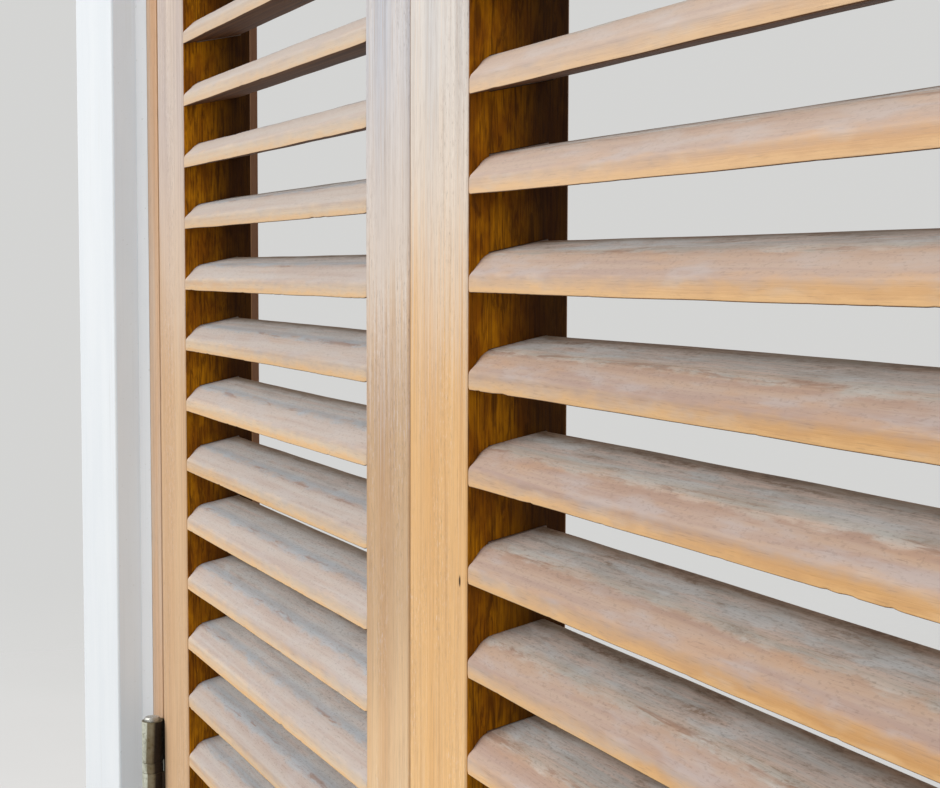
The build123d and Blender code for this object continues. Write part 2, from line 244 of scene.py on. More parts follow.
class Shade(Nodes):
    """One material, with the place and facing of each point in the frame of its body."""

    def __init__(self, name, metallic=0.0, gloss=0.5):
        self.material = bpy.data.materials.new(name)
        self.material.use_nodes = True
        super().__init__(self.material.node_tree)
        self.shader = self.tree.nodes["Principled BSDF"]
        self.feed(self.shader, "Metallic", metallic)
        self.feed(self.shader, "Specular IOR Level", gloss)
        where = self.tree.nodes.new("ShaderNodeTexCoord")
        self.place = where.outputs["Object"]
        self.x, self.y, self.z = (self.axis(self.place, name) for name in "XYZ")
        self.nx, self.ny, self.nz = (self.axis(where.outputs["Normal"], name) for name in "XYZ")
        self.far = self.math("ABSOLUTE", self.x)
        self.sideways = self.math("ABSOLUTE", self.nx)

    def attribute(self, name, out="Fac"):
        return self.add("ShaderNodeAttribute", out=out, attribute_name=name)

    def grow(self, place, axis):
        """Fibres, broader streaks, the slow figure and the pores of straight-grained timber along an axis."""
        self.own, self.run = place, axis
        bend = self.noise(place, along(axis, 14, 3), 2)
        sway = self.stretch(bend, along(axis, 0.006, 0.0))
        bent = self.shift(place, sway)
        self.fibre = self.noise(bent, along(axis, 1300, 22), 3, 0.6)
        self.streak = self.noise(bent, along(axis, 300, 5), 4, 0.6)
        self.figure = self.noise(bent, along(axis, 42, 1.4), 3, 0.5, 0.4)
        self.pores = self.step(self.noise(bent, along(axis, 2300, 110), 1.5, 0.5), 0.60, 0.72)

    def marks(self, across, length, detail, roughness=0.55, distortion=0.0, offset=None):
        """Noise that runs along the grain."""
        place = self.shift(self.own, offset) if offset else self.own
        return self.noise(place, along(self.run, across, length), detail, roughness, distortion)

    def relief(self, fibre, streak, pores):
        """Height of the grain, from how much its fibres, streaks and pores count."""
        raised = self.plus(self.times(self.fibre, fibre), self.times(self.streak, streak))
        return self.minus(raised, self.times(self.pores, pores))

    def finish(self, colour, roughness, height=None, depth=0.0, strength=0.0):
        self.feed(self.shader, "Base Color", colour)
        self.feed(self.shader, "Roughness", roughness)
        if height is not None:
            bump = self.add("ShaderNodeBump", {"Strength": strength, "Distance": depth, "Height": height})
            self.feed(self.shader, "Normal", bump)
        return self.material


def weathered_front(s):
    """Timber open to the weather: golden low down, silvered above and towards the middle of the pair."""
    golden = s.mix(s.step(s.figure, 0.32, 0.68), rgb(223, 169, 108), rgb(234, 187, 130))
    golden = s.over(golden, s.streak, 0.45, 0.75, 0.55, rgb(196, 146, 100))
    silver = s.mix(s.step(s.figure, 0.35, 0.65), rgb(212, 209, 208), rgb(230, 222, 214))
    silver = s.over(silver, s.streak, 0.42, 0.72, 0.5, rgb(184, 176, 170))
    silver = s.over(silver, s.z, 0.80, 0.67, 0.8, rgb(236, 213, 188))

    patch = s.marks(16, 5, 3)
    ragged = s.marks(480, 8, 4, 0.6)
    edge = s.plus(s.times(s.minus(patch, 0.5), 0.12), s.times(s.minus(ragged, 0.5), 0.18))
    high = s.step(s.plus(s.z, edge), SILVER_FROM, SILVER_FULL)
    low = s.step(s.z, 0.30, 0.12, 0.0, 0.5)
    middle = s.step(s.far, 0.38, 0.07, 0.42, 1.0)
    left = s.plus(s.step(s.x, 0.0, -0.002, 0.0, 0.14), s.step(s.x, -0.38, -0.39, 0.0, 0.08))
    weathered = s.math("ADD", s.times(s.math("MAXIMUM", high, low), middle), left, clamp=True)
    front = s.mix(weathered, golden, silver)

    thread = s.marks(760, 16, 3, 0.6)
    dash = s.marks(1150, 260, 2, 0.6)
    dashed = s.step(s.marks(34, 7, 3, offset=(2.3, 0.7, 1.1)), 0.40, 0.62)
    front = s.over(front, s.fibre, 0.48, 0.7, 0.30, rgb(176, 140, 108))
    front = s.over(front, thread, 0.52, 0.70, 0.24, rgb(246, 214, 176))
    front = s.over(front, thread, 0.44, 0.28, 0.22, rgb(178, 142, 112))
    front = s.mix(s.times(s.pores, 0.2), front, rgb(152, 122, 98))
    front = s.mix(s.times(s.step(dash, 0.58, 0.68), dashed, 0.38), front, rgb(140, 118, 104))
    front = s.mix(s.times(s.step(dash, 0.42, 0.33), dashed, 0.3), front, rgb(250, 240, 228))

    bright = s.times(s.step(s.plus(s.z, s.times(edge, 0.4)), 0.57, 0.43), s.step(s.far, 0.2, 0.1))
    front = s.tint(bright, front, (1.15, 1.22, 1.30))
    front = s.tint(s.step(s.far, 0.36, 0.40), front, (0.90, 0.935, 1.015))
    left_leaf = s.step(s.x, 0.0, -JOINT)
    front = s.tint(s.times(left_leaf, s.step(s.x, -0.38, -0.36)), front, (0.975, 0.995, 1.03))
    level = s.plus(s.z, s.times(edge, 0.5))
    near_joint = s.times(
        left_leaf, s.step(s.x, -0.060, -0.0595),
        s.step(level, 0.62, 0.68, 1.0, 0.35), s.step(level, 0.54, 0.47, 1.0, 0.4),
    )
    return s.tint(near_joint, front, (0.80, 0.83, 0.92))


def varnished_side(s):
    """Old dark varnish on the faces that the slats meet, darkening towards the room, partly from the varnish
    and partly painted shade between the slats.
    """
    colour = s.mix(s.step(s.marks(90, 42, 3, 0.6), 0.35, 0.65), rgb(206, 132, 8), rgb(156, 90, 5))
    colour = s.over(colour, s.marks(520, 60, 4, 0.65, 0.8), 0.44, 0.66, 0.7, rgb(86, 44, 3))
    colour = s.over(colour, s.fibre, 0.46, 0.66, 0.45, rgb(62, 30, 3))
    colour = s.over(colour, s.streak, 0.52, 0.7, 0.25, rgb(66, 32, 5))
    # Painted shade with darker varnish: the faces darken from the front towards the room, where the slats
    # close in
    colour = s.over(colour, s.y, LEAF_FRONT + 7 * MM, LEAF_FRONT + 34 * MM, 0.90, rgb(38, 15, 3))
    return s.over(colour, s.z, 0.66, 0.57, 0.2, rgb(70, 36, 3))


def oiled_back(s):
    """Darker oiled timber of the indoor faces."""
    colour = s.mix(s.step(s.figure, 0.3, 0.7), rgb(150, 98, 52), rgb(172, 118, 66))
    colour = s.over(colour, s.streak, 0.42, 0.7, 0.6, rgb(112, 68, 34))
    return s.mix(s.times(s.pores, 0.6), colour, rgb(70, 40, 20))


def leaf_wood(name, axis):
    """Timber of the stiles and rails, which differs by face, with painted shade in the housings and one knot.
    """
    s = Shade(name, gloss=0.08)
    seed = s.times(s.add("ShaderNodeObjectInfo", out="Random"), 3.7)
    s.grow(s.shift(s.place, s.same(seed)), axis)
    side_face = s.step(s.sideways, 0.75, 0.92)
    inside = s.times(side_face, s.between(s.far, 50 * MM, 396 * MM, 0.5 * MM))
    # Painted shade: the faces of the slats' housings in the stiles are darkened as a recess in shadow
    housing_shade = s.times(
        s.between(s.y, LEAF_FRONT + 1.2 * MM, LEAF_BACK - 1.2 * MM, 0.6 * MM),
        s.between(s.far, 46 * MM, 402 * MM, 1 * MM),
        s.between(s.z, LEAF_BOTTOM, LEAF_TOP, 10 * MM),
        s.minus(1.0, inside),
    )
    edge_wood = s.mix(s.step(s.streak, 0.3, 0.7), rgb(186, 142, 98), rgb(150, 108, 72))
    colour = s.mix(s.times(side_face, 0.6), weathered_front(s), edge_wood)
    colour = s.mix(s.step(s.ny, 0.3, 0.8), colour, oiled_back(s))
    colour = s.mix(inside, colour, varnished_side(s))
    colour = s.mix(housing_shade, colour, rgb(46, 24, 10))
    from_knot = s.length(s.stretch(s.vector("SUBTRACT", s.place, KNOT), (1.0, 0.3, 0.4)))
    colour = s.over(colour, from_knot, 1.2 * MM, 0.5 * MM, 0.97, rgb(36, 18, 8))
    rough = s.minus(0.66, s.times(inside, 0.2))
    return s.finish(colour, rough, s.relief(0.7, 0.6, 0.5), 0.25 * MM, 0.6)


class LouvreShade(Shade):
    """Weathered slats: golden noses, pink-grey splays, dusty grey tops, and painted shade in dark brown on
    backs and undersides.
    """

    def __init__(self, name):
        super().__init__(name, gloss=0.2)
        self.grow(self.attribute("grain", "Vector"), "X")
        self.across = self.attribute("across")
        wander = self.minus(self.marks(200, 55, 4, 0.6), 0.5)
        self.rise = self.plus(self.attribute("rise"), self.times(wander, 0.35))
        self.left = self.step(self.x, 0.0, -0.002)
        self.paler = self.times(self.left, self.step(self.streak, 0.3, 0.7, 0.85, 0.4))
        self.pale = self.marks(120, 28, 3)
        self.stain = self.marks(150, 20, 5, 0.65, 0.5, offset=(0.3, 2.9, 0.7))

    def nose(self):
        """Golden front edge, paler towards the middle of the pair and warm along its foot."""
        colour = self.mix(self.step(self.figure, 0.3, 0.7), rgb(208, 155, 98), rgb(219, 171, 116))
        colour = self.over(colour, self.streak, 0.45, 0.7, 0.45, rgb(200, 152, 112))
        colour = self.over(colour, self.pale, 0.5, 0.68, 0.45, rgb(222, 192, 158))
        colour = self.over(colour, self.far, 0.33, 0.08, 0.5, rgb(228, 199, 168))
        colour = self.mix(self.paler, colour, rgb(226, 202, 172))
        return self.over(colour, self.rise, 0.16, 0.02, 0.65, rgb(238, 190, 130))

    def splay(self):
        """Pink-grey slope between the nose and the top, with warm patches."""
        colour = self.mix(self.step(self.streak, 0.35, 0.65), rgb(189, 163, 145), rgb(177, 150, 136))
        colour = self.over(colour, self.pale, 0.46, 0.66, 0.6, rgb(188, 175, 170))
        warm = self.marks(90, 18, 3, offset=(3.1, 0.2, 0.4))
        colour = self.over(colour, warm, 0.52, 0.7, 0.5, rgb(197, 158, 125))
        return self.mix(self.paler, colour, rgb(194, 184, 176))

    def top(self):
        """Grey top with dust, stains and grit that thickens towards the back, painted lighter towards the
        back, darker and browner in a ragged band at its back edge, and with painted shade just behind the
        crease on the left leaf.
        """
        fine = self.marks(520, 260, 3, 0.7)
        dirt = self.marks(190, 26, 6, 0.72, 0.6, offset=(1.7, 0.9, 0.1))
        dust = self.marks(80, 22, 4, 0.6, 0.5, offset=(5.3, 1.9, 2.7))
        colour = self.mix(self.step(self.pale, 0.38, 0.62), rgb(192, 178, 168), rgb(174, 169, 163))
        colour = self.over(colour, self.streak, 0.4, 0.66, 0.5, rgb(198, 172, 156))
        colour = self.over(colour, self.fibre, 0.45, 0.7, 0.36, rgb(152, 140, 131))

        gritty = self.plus(self.minus(dirt, 0.60), self.times(self.across, 0.20))
        grit = self.times(self.step(gritty, -0.04, 0.22), self.step(fine, 0.32, 0.62), 0.8)
        colour = self.mix(grit, colour, rgb(128, 102, 80))
        share = self.minus(0.5, self.times(self.left, 0.25))
        stained = self.times(self.step(self.stain, 0.54, 0.74), self.step(fine, 0.3, 0.6), share)
        colour = self.mix(stained, colour, rgb(142, 114, 92))
        colour = self.over(colour, dust, 0.48, 0.64, 0.6, rgb(190, 191, 190))
        colour = self.mix(self.times(self.paler, 0.8), colour, rgb(197, 193, 189))

        # Painted light: the top is lightened towards the back, where the slat above shades it
        colour = self.brighten(colour, self.step(self.across, 0.22, 0.64, 1.10, 1.46))
        ragged_depth = self.plus(self.across, self.times(self.minus(dirt, 0.5), 0.16))
        colour = self.tint(self.step(ragged_depth, 0.64, 0.88), colour, (0.42, 0.32, 0.23))
        # Painted shade: on the left leaf the front of each top, just behind the crease, is made darker and
        # cooler
        shade_behind_crease = self.times(self.left, self.step(self.across, 0.46, 0.34))
        return self.tint(shade_behind_crease, colour, (0.80, 0.86, 0.93))

    def worn(self, speck, upward):
        """The three faces that the weather reaches, from the nose over the splay to the top."""
        to_top = self.step(self.rise, 0.66, 0.76)
        splay_from = self.step(self.far, 0.18, 0.34, 0.0, 0.06)
        to_splay = self.step(self.minus(self.rise, splay_from), 0.08, 0.40)
        colour = self.mix(to_top, self.mix(to_splay, self.nose(), self.splay()), self.top())
        right = self.minus(1.0, self.left)
        before_crease = self.times(self.step(self.rise, 0.50, 0.64), self.step(self.across, 0.42, 0.30), right)
        colour = self.tint(before_crease, colour, (1.0, 0.96, 0.90))
        colour = self.mix(self.times(self.pores, 0.2), colour, rgb(128, 100, 82))
        from_crease = self.math("ABSOLUTE", self.minus(self.across, 0.25))
        grime = self.times(self.step(from_crease, 0.07, 0.01), self.step(self.stain, 0.52, 0.62), 0.55)
        colour = self.mix(grime, colour, rgb(150, 108, 84))
        colour = self.mix(self.times(self.step(speck, 0.56, 0.68), upward, 0.3), colour, rgb(120, 102, 90))
        faded = self.times(self.step(self.z, 0.62, 0.80), 0.35, self.minus(1.0, to_top))
        return self.mix(faded, colour, rgb(214, 200, 186))

    def build(self):
        speck = self.marks(1000, 420, 2)
        upward = self.step(self.nz, 0.4, 0.9)
        # Painted shade: backs and undersides take a dark brown in place of the wood's own colour
        shaded = self.mix(self.step(self.streak, 0.4, 0.65), rgb(104, 66, 34), rgb(66, 36, 16))
        behind = self.math("MAXIMUM", self.step(self.ny, 0.35, 0.7), self.step(self.nz, -0.25, -0.6))
        colour = self.mix(behind, self.worn(speck, upward), shaded)
        colour = self.brighten(colour, self.plus(0.94, self.times(self.attribute("tone"), 0.12)))
        # Painted shade with grime: each slat darkens within a couple of millimetres of the stile that it meets
        colour = self.over(colour, self.attribute("end"), 1.6 * MM, 0.3 * MM, 0.55, rgb(70, 44, 26))
        grain = self.plus(self.times(self.fibre, 0.6), self.times(self.streak, 0.6))
        height = self.plus(grain, self.times(speck, upward, 0.7))
        return self.finish(colour, 0.7, height, 0.3 * MM, 0.6)


def lining_wood(name, axis):
    """Oiled timber of the linings, redder than the leaves and darker where it runs in behind them."""
    s = Shade(name)
    s.grow(s.place, axis)
    colour = s.mix(s.step(s.figure, 0.3, 0.7), rgb(203, 156, 112), rgb(218, 178, 138))
    colour = s.over(colour, s.streak, 0.42, 0.7, 0.6, rgb(180, 128, 84))
    colour = s.mix(s.times(s.pores, 0.5), colour, rgb(116, 76, 46))
    colour = s.over(colour, s.marks(30, 4, 3), 0.46, 0.7, 0.45, rgb(204, 188, 172))
    colour = s.over(colour, s.y, LEAF_FRONT + 4 * MM, LEAF_FRONT + 30 * MM, 0.75, rgb(120, 72, 34))
    return s.finish(colour, 0.5, s.relief(0.6, 0.6, 0.4), 0.2 * MM, 0.5)


def white_paint(name, axis):
    """Satin paint with brush marks along the piece, faint runs and specks, and splashes at its foot."""
    s = Shade(name, gloss=0.22)
    brush = s.noise(s.place, along(axis, 420, 6), 3, 0.6)
    broad = s.noise(s.place, along(axis, 22, 5), 4, 0.6)
    drip = s.noise(s.place, (60, 60, 4), 4, 0.65)
    speck = s.noise(s.place, 380, 3, 0.7)
    colour = s.mix(s.step(broad, 0.3, 0.7), rgb(235, 239, 242), rgb(241, 244, 246))
    colour = s.over(colour, brush, 0.5, 0.75, 0.16, rgb(214, 219, 222))
    colour = s.over(colour, drip, 0.58, 0.74, 0.22, rgb(206, 204, 196))
    splash = s.times(s.step(s.z, 0.22, 0.0), s.step(speck, 0.48, 0.62), 0.4)
    colour = s.mix(splash, colour, rgb(170, 162, 148))
    colour = s.over(colour, speck, 0.66, 0.72, 0.3, rgb(188, 186, 178))
    # Painted cool tint on the posts' inner side faces, which takes out the warm light bounced onto them from
    # the wood
    reveal = s.times(s.step(s.sideways, 0.8, 0.95), s.step(s.far, 0.56, 0.55))
    colour = s.tint(reveal, colour, (0.96, 1.02, 1.07))
    height = s.plus(s.times(brush, 0.8), s.times(broad, 0.6))
    return s.finish(colour, s.step(speck, 0.3, 0.7, 0.44, 0.6), height, 0.18 * MM, 0.55)


def metal(name, light, dark, grime, roughness, metallic=0.75, shaded_knuckle=False):
    """Dull plated metal with blotches, scratches and grime; on a hinge, painted shade, olive to dark brown,
    where its knuckle turns away from the front, and darker olive on faces turned up.
    """
    s = Shade(name, metallic)
    blotch = s.noise(s.place, 150, 4, 0.6)
    scratch = s.noise(s.place, (2500, 2500, 60), 2)
    dust = s.noise(s.place, 420, 4, 0.7)
    colour = s.mix(s.step(blotch, 0.35, 0.65), light, dark)
    colour = s.over(colour, scratch, 0.5, 0.7, 0.35, rgb(196, 196, 186))
    colour = s.over(colour, dust, 0.5, 0.7, 0.6, grime)
    if shaded_knuckle:
        # Painted shade on the knuckle: olive, then dark brown, as its faces turn away from the front towards
        # the side
        knuckle = s.step(s.y, LEAF_FRONT + 5 * MM, LEAF_FRONT + 2 * MM, 0.15, 1.0)
        colour = s.mix(s.times(knuckle, s.step(s.ny, -0.79, -0.66, 0.0, 0.85)), colour, rgb(98, 80, 42))
        colour = s.mix(s.times(knuckle, s.step(s.ny, -0.30, 0.08)), colour, rgb(26, 16, 9))
        colour = s.over(colour, s.nz, 0.2, 0.6, 0.8, rgb(104, 96, 72))
    rough = s.step(dust, 0.35, 0.65, roughness - 0.08, roughness + 0.22)
    height = s.plus(s.times(blotch, 0.6), s.times(dust, 0.5))
    return s.finish(colour, rough, height, 0.12 * MM, 0.5)


def peg_wood(name):
    """End grain of the pegs, darker than the face that they stand in."""
    s = Shade(name)
    rings = s.noise(s.place, (700, 90, 700), 3, 0.6)
    pores = s.step(s.noise(s.place, (2600, 300, 2600), 1), 0.55, 0.65)
    colour = s.mix(s.step(rings, 0.35, 0.65), rgb(186, 140, 98), rgb(150, 108, 74))
    colour = s.mix(s.times(pores, 0.6), colour, rgb(82, 54, 34))
    return s.finish(colour, 0.7, s.plus(rings, s.times(pores, -0.5)), 0.2 * MM, 0.6)


STILE_WOOD, RAIL_WOOD = leaf_wood("stile_wood", "Z"), leaf_wood("rail_wood", "X")
LOUVRE_WOOD = LouvreShade("weathered_louvre_wood").build()
LINING_UPRIGHT, LINING_LEVEL = lining_wood("lining_upright", "Z"), lining_wood("lining_level", "X")
PAINT_UPRIGHT, PAINT_LEVEL = white_paint("paint_upright", "Z"), white_paint("paint_level", "X")
HINGE_STEEL = metal(
    "hinge_zinc", rgb(204, 206, 190), rgb(172, 173, 154), rgb(112, 104, 80), 0.45,
    metallic=0.4, shaded_knuckle=True,
)
BOLT_STEEL = metal("bolt_zinc", rgb(172, 172, 164), rgb(140, 140, 134), rgb(96, 90, 78), 0.40)
ROD_STEEL = metal("rod_zinc", rgb(192, 192, 186), rgb(160, 160, 154), rgb(98, 92, 80), 0.30)
SCREW_METAL = metal("screw_zinc", rgb(178, 176, 164), rgb(140, 138, 128), rgb(74, 68, 54), 0.36)
PEG_WOOD = peg_wood("peg_end_grain")


def dress(obj, material):
    obj.data.materials.clear()
    obj.data.materials.append(material)


def cad_material(name):
    level = name in ("sill", "head", "sill_lining", "head_lining")
    if name.endswith("_rail"):
        return RAIL_WOOD
    if name.endswith(("_stile", "_louvres")):
        return STILE_WOOD
    if name.endswith("_lining"):
        return LINING_LEVEL if level else LINING_UPRIGHT
    if name in ("sill", "head") or name.endswith(("_post", "_bead")):
        return PAINT_LEVEL if level else PAINT_UPRIGHT
    if name.endswith(("_rod", "_pin")):
        return ROD_STEEL
    return HINGE_STEEL if "hinge" in name else BOLT_STEEL


def soften(obj, width):
    """Rub the sharp edges of a CAD piece, with flat faces joined first so that the rounding runs true."""
    weld = obj.modifiers.new("join", "WELD")
    weld.merge_threshold = 0.002 * MM
    flat = obj.modifiers.new("flat", "DECIMATE")
    flat.decimate_type, flat.angle_limit = "DISSOLVE", math.radians(0.5)
    bevel = obj.modifiers.new("arris", "BEVEL")
    bevel.width, bevel.segments, bevel.limit_method = width, 2, "ANGLE"
    bevel.angle_limit = math.radians(35)
    bevel.harden_normals = True


for name, obj in nodes.items():
    dress(obj, cad_material(name))
    if name.endswith(("_stile", "_rail", "_lining", "_bead", "_post")) or name in ("sill", "head"):
        soften(obj, WOOD_ARRIS)
    elif name.endswith(("_plate", "_case", "_keeper")):
        soften(obj, METAL_ARRIS)


def mesh_object(name, points, faces, material, smooth=True):
    mesh = bpy.data.meshes.new(name)
    mesh.from_pydata(points, [], faces)
    mesh.update()
    obj = bpy.data.objects.new(name, mesh)
    bpy.context.scene.collection.objects.link(obj)
    mesh.materials.append(material)
    if smooth:
        mesh.polygons.foreach_set("use_smooth", [True] * len(mesh.polygons))
        mesh.set_sharp_from_angle(angle=math.radians(40))
    return obj


def rounded_section():
    """Points round a slat's section with its corners rounded, and which corner each belongs to.

    The long top and underside have two more points each, which belong to no corner.
    """
    corners = [Vector((depth, height)) for depth, height, _ in LOUVRE_CORNERS]
    count, steps = len(corners), 4
    points = []
    for i, (_, _, reach) in enumerate(LOUVRE_CORNERS):
        corner, before, after = corners[i], corners[i - 1], corners[(i + 1) % count]
        start = corner + (before - corner).normalized() * reach
        end = corner + (after - corner).normalized() * reach
        for step in range(steps + 1):
            t = step / steps
            points.append(((1 - t) ** 2 * start + 2 * t * (1 - t) * corner + t * t * end, i))
        if i in (CREASE, BACK_FOOT):
            following = after + (corner - after).normalized() * LOUVRE_CORNERS[(i + 1) % count][2]
            points += [(end.lerp(following, t), None) for t in (0.33, 0.67)]
    return points


LOUVRE_SECTION = rounded_section()


def worn_spot(spot, corner, x, row, seed, from_end):
    """A point of the section with wear: a wavy surface, a chipped foot, and rounded ends and edges."""
    depth, height = spot
    wave = noise.noise(Vector((x * 22 + seed, depth * 0.08, height * 0.08))) * 0.22
    if corner == NOSE_FOOT:
        chip = noise.noise(Vector((x * 210 + seed, row * 3.1, 0.5)))
        big = noise.noise(Vector((x * 34 + seed, row * 1.7, 8.5)))
        bite = max(0.0, chip - 0.42) * 0.8 + max(0.0, big - 0.46) * max(0.0, chip + 0.2) * 2.6
        depth, height = depth + bite, height + bite * 0.8
    if corner in (NOSE_FOOT, NOSE_TOP):
        inset = max(0.0, 1.0 - from_end / (2.2 * MM))
        depth += 0.9 * inset * inset
        height += (0.7 if corner == NOSE_FOOT else -0.3) * inset * inset
    if corner in (NOSE_TOP, CREASE):
        rubbed = max(0.0, noise.noise(Vector((x * 60 + seed, row * 2.3, 3.5 + corner))) - 0.1) * 0.8
        height -= rubbed * (0.7 if corner == NOSE_TOP else 0.45)
    return depth, height + wave


class Louvres:
    """The slats of one leaf as worn timber, gathered into one mesh with the values that its wood reads."""

    def __init__(self, name):
        self.name = name
        self.rng = random.Random(LOUVRE_SEEDS[name])
        self.low_x, self.high_x = sorted(inner_edges(name))
        self.points, self.faces = [], []
        self.values = {key: [] for key in ("grain", "tone", "across", "rise", "end")}

    def put(self, row, x, depth, height, **values):
        """One point of a slat, with its depth and height in mm."""
        base = FIRST_LOUVRE - LOUVRE_DROP[self.name] + row * LOUVRE_PITCH
        self.points.append((x, LEAF_FRONT + depth * MM, base + height * MM))
        for key, value in values.items():
            self.values[key].append(value)

    def slat(self, row):
        """The slat between its stiles, a little out of line, bowed, turned and twisted."""
        rng = self.rng
        lift, bow = rng.uniform(-0.35, 0.35), rng.uniform(-0.45, 0.45)
        roll, twist = rng.uniform(-0.006, 0.006), rng.uniform(-0.006, 0.006)
        tone, seed = rng.random(), rng.uniform(0, 50)
        start, end = self.low_x - 0.4 * MM, self.high_x + 0.4 * MM
        first, ring = len(self.points), len(LOUVRE_SECTION)
        for station in range(LOUVRE_STATIONS + 1):
            t = station / LOUVRE_STATIONS
            x = start + (end - start) * t
            from_end = min(x - start, end - x)
            bend = lift + bow * math.sin(math.pi * t)
            turn = roll + twist * (t - 0.5)
            for spot, corner in LOUVRE_SECTION:
                depth, height = worn_spot(spot, corner, x, row, seed, from_end)
                height += bend + depth * turn
                grain = (x + seed, depth * MM + row * 0.37, height * MM + row * 0.13)
                self.put(row, x, depth, height, grain=grain, tone=tone, end=from_end,
                         across=depth / LOUVRE_DEPTH, rise=height / LOUVRE_HEIGHT)
        for station in range(LOUVRE_STATIONS):
            a = first + station * ring
            b = a + ring
            self.faces += [(a + i, a + (i + 1) % ring, b + (i + 1) % ring, b + i) for i in range(ring)]
        last = first + LOUVRE_STATIONS * ring
        self.faces += [tuple(first + i for i in reversed(range(ring))), tuple(last + i for i in range(ring))]

    def stubs(self, row):
        """The slat's two stub tenons, which fill the housings in the stiles."""
        quads = [(0, 1, 2, 3), (7, 6, 5, 4), (0, 4, 5, 1), (1, 5, 6, 2), (2, 6, 7, 3), (3, 7, 4, 0)]
        for face, out in ((self.low_x, -1), (self.high_x, 1)):
            first = len(self.points)
            for x in (face - out * STUB_BACK, face + out * STUB_REACH):
                for depth, height in STUB_CORNERS:
                    grain = (x, depth * MM, height * MM)
                    self.put(row, x, depth, height, grain=grain, tone=0.5, end=0.0, across=0.5, rise=0.5)
            self.faces += [tuple(first + k for k in (quad if out < 0 else reversed(quad))) for quad in quads]


def louvre_blades(name):
    blades = Louvres(name)
    for row in range(LOUVRES):
        blades.slat(row)
    for row in range(LOUVRES):
        blades.stubs(row)
    obj = mesh_object(f"{name}_louvre_blades", blades.points, blades.faces, LOUVRE_WOOD)
    for key, values in blades.values.items():
        if key == "grain":
            layer = obj.data.attributes.new(key, "FLOAT_VECTOR", "POINT")
            layer.data.foreach_set("vector", [part for value in values for part in value])
        else:
            layer = obj.data.attributes.new(key, "FLOAT", "POINT")
            layer.data.foreach_set("value", values)
    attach(obj, f"{name}_leaf")
    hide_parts(f"{name}_louvres")


for name in SIDES:
    louvre_blades(name)


def turned(profile, segments):
    """Points and faces of a turned form, from radius and height pairs that start on its axis."""
    points = [(0.0, 0.0, profile[0][1])]
    for radius, height in profile[1:]:
        for k in range(segments):
            angle = 2 * math.pi * k / segments
            points.append((radius * math.cos(angle), radius * math.sin(angle), height))
    faces = [(0, 1 + k, 1 + (k + 1) % segments) for k in range(segments)]
    for ring in range(len(profile) - 2):
        a, b = 1 + ring * segments, 1 + (ring + 1) * segments
        faces += [(a + k, b + k, b + (k + 1) % segments, a + (k + 1) % segments) for k in range(segments)]
    last = 1 + (len(profile) - 2) * segments
    faces.append(tuple(last + k for k in reversed(range(segments))))
    return points, faces


def screw_head(radius, turn):
    """A slotted countersunk head: two crowned halves, the slot between them and the rim."""
    slot, sunk, crown, rim = radius * 0.13, radius * 0.32, radius * 0.05, radius * 0.06
    levels = ((1.0, -sunk), (1.0, -rim), (0.93, 0.0), (0.55, crown))
    start = math.asin(slot / radius)
    steps = 14
    count = steps + 1
    points, faces = [], []
    for half in (0, 1):
        arc = [half * math.pi + start + (math.pi - 2 * start) * k / steps for k in range(count)]
        first = len(points)
        for size, height in levels:
            for k, angle in enumerate(arc):
                x, y = radius * size * math.cos(angle), radius * size * math.sin(angle)
                if k in (0, steps):
                    y = slot if half == 0 else -slot
                points.append((x, y, height))
        for level in range(len(levels) - 1):
            a = first + level * count
            b = a + count
            faces += [(a + k, a + k + 1, b + k + 1, b + k) for k in range(steps)]
            faces.append((a + steps, a, b, b + steps))
        top = first + (len(levels) - 1) * count
        faces.append(tuple(top + k for k in range(count)))
    floor = len(points)
    for x, y in ((-1, -1), (1, -1), (1, 1), (-1, 1)):
        points.append((x * radius * 0.985, y * slot, -sunk * 0.85))
    faces.append((floor, floor + 1, floor + 2, floor + 3))
    spin = Matrix.Rotation(turn, 3, "Z")
    return [tuple(spin @ Vector(p)) for p in points], faces


def place_all(name, body, material, items):
    """One mesh of small like pieces. Each item is a form, its place and the way that it faces."""
    points, faces = [], []
    for (form_points, form_faces), place, facing in items:
        turn = Vector(facing).to_track_quat("Z", "Y").to_matrix()
        first = len(points)
        points += [tuple(turn @ Vector(p) + Vector(place)) for p in form_points]
        faces += [tuple(first + k for k in face) for face in form_faces]
    obj = mesh_object(name, points, faces, material)
    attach(obj, body)


def screw(rng, diameter, place, facing, proud=0.2):
    """A screw head at any turn, proud of its place by so many mm."""
    out = Vector(facing) * proud * MM
    return screw_head(diameter / 2 * MM, rng.uniform(0, math.pi)), tuple(Vector(place) + out), facing


def peg(rng, diameter, place, facing):
    """A peg's end, domed and a little proud of its face."""
    r = diameter / 2 * MM
    proud = rng.uniform(0.15, 0.4) * MM
    profile = [(0, proud * 1.15), (r * 0.6, proud * 1.1), (r * 0.88, proud), (r, proud * 0.4), (r, -0.6 * MM)]
    return turned(profile, 20), place, facing


def bolt_x(name):
    return SIDES[name] * (JOINT + MEETING_STILE[name] / 2)


def hinge_screws(rng, name):
    """Three staggered screws in each plate of one side's hinges: those in the frame and those in the leaf."""
    side, in_frame, in_leaf = SIDES[name], [], []
    for level in ("lower", "upper"):
        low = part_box(f"{name}_{level}_hinge_frame_plate")[0].z
        for row, stagger in ((-1, -1), (0, 1), (1, -1)):
            y = LEAF_FRONT + (HINGE_SCREW_DEPTH + stagger * HINGE_SCREW_STAGGER) * MM
            z = low + (HINGE_MIDDLE + row * HINGE_SCREW_RISE) * MM
            for screws, x, out in ((in_frame, LINING_X, -side), (in_leaf, HINGE_EDGE, side)):
                screws.append(screw(rng, HINGE_SCREW, (side * x, y, z), (out, 0, 0), -HINGE_SCREW_SUNK))
    return in_frame, in_leaf


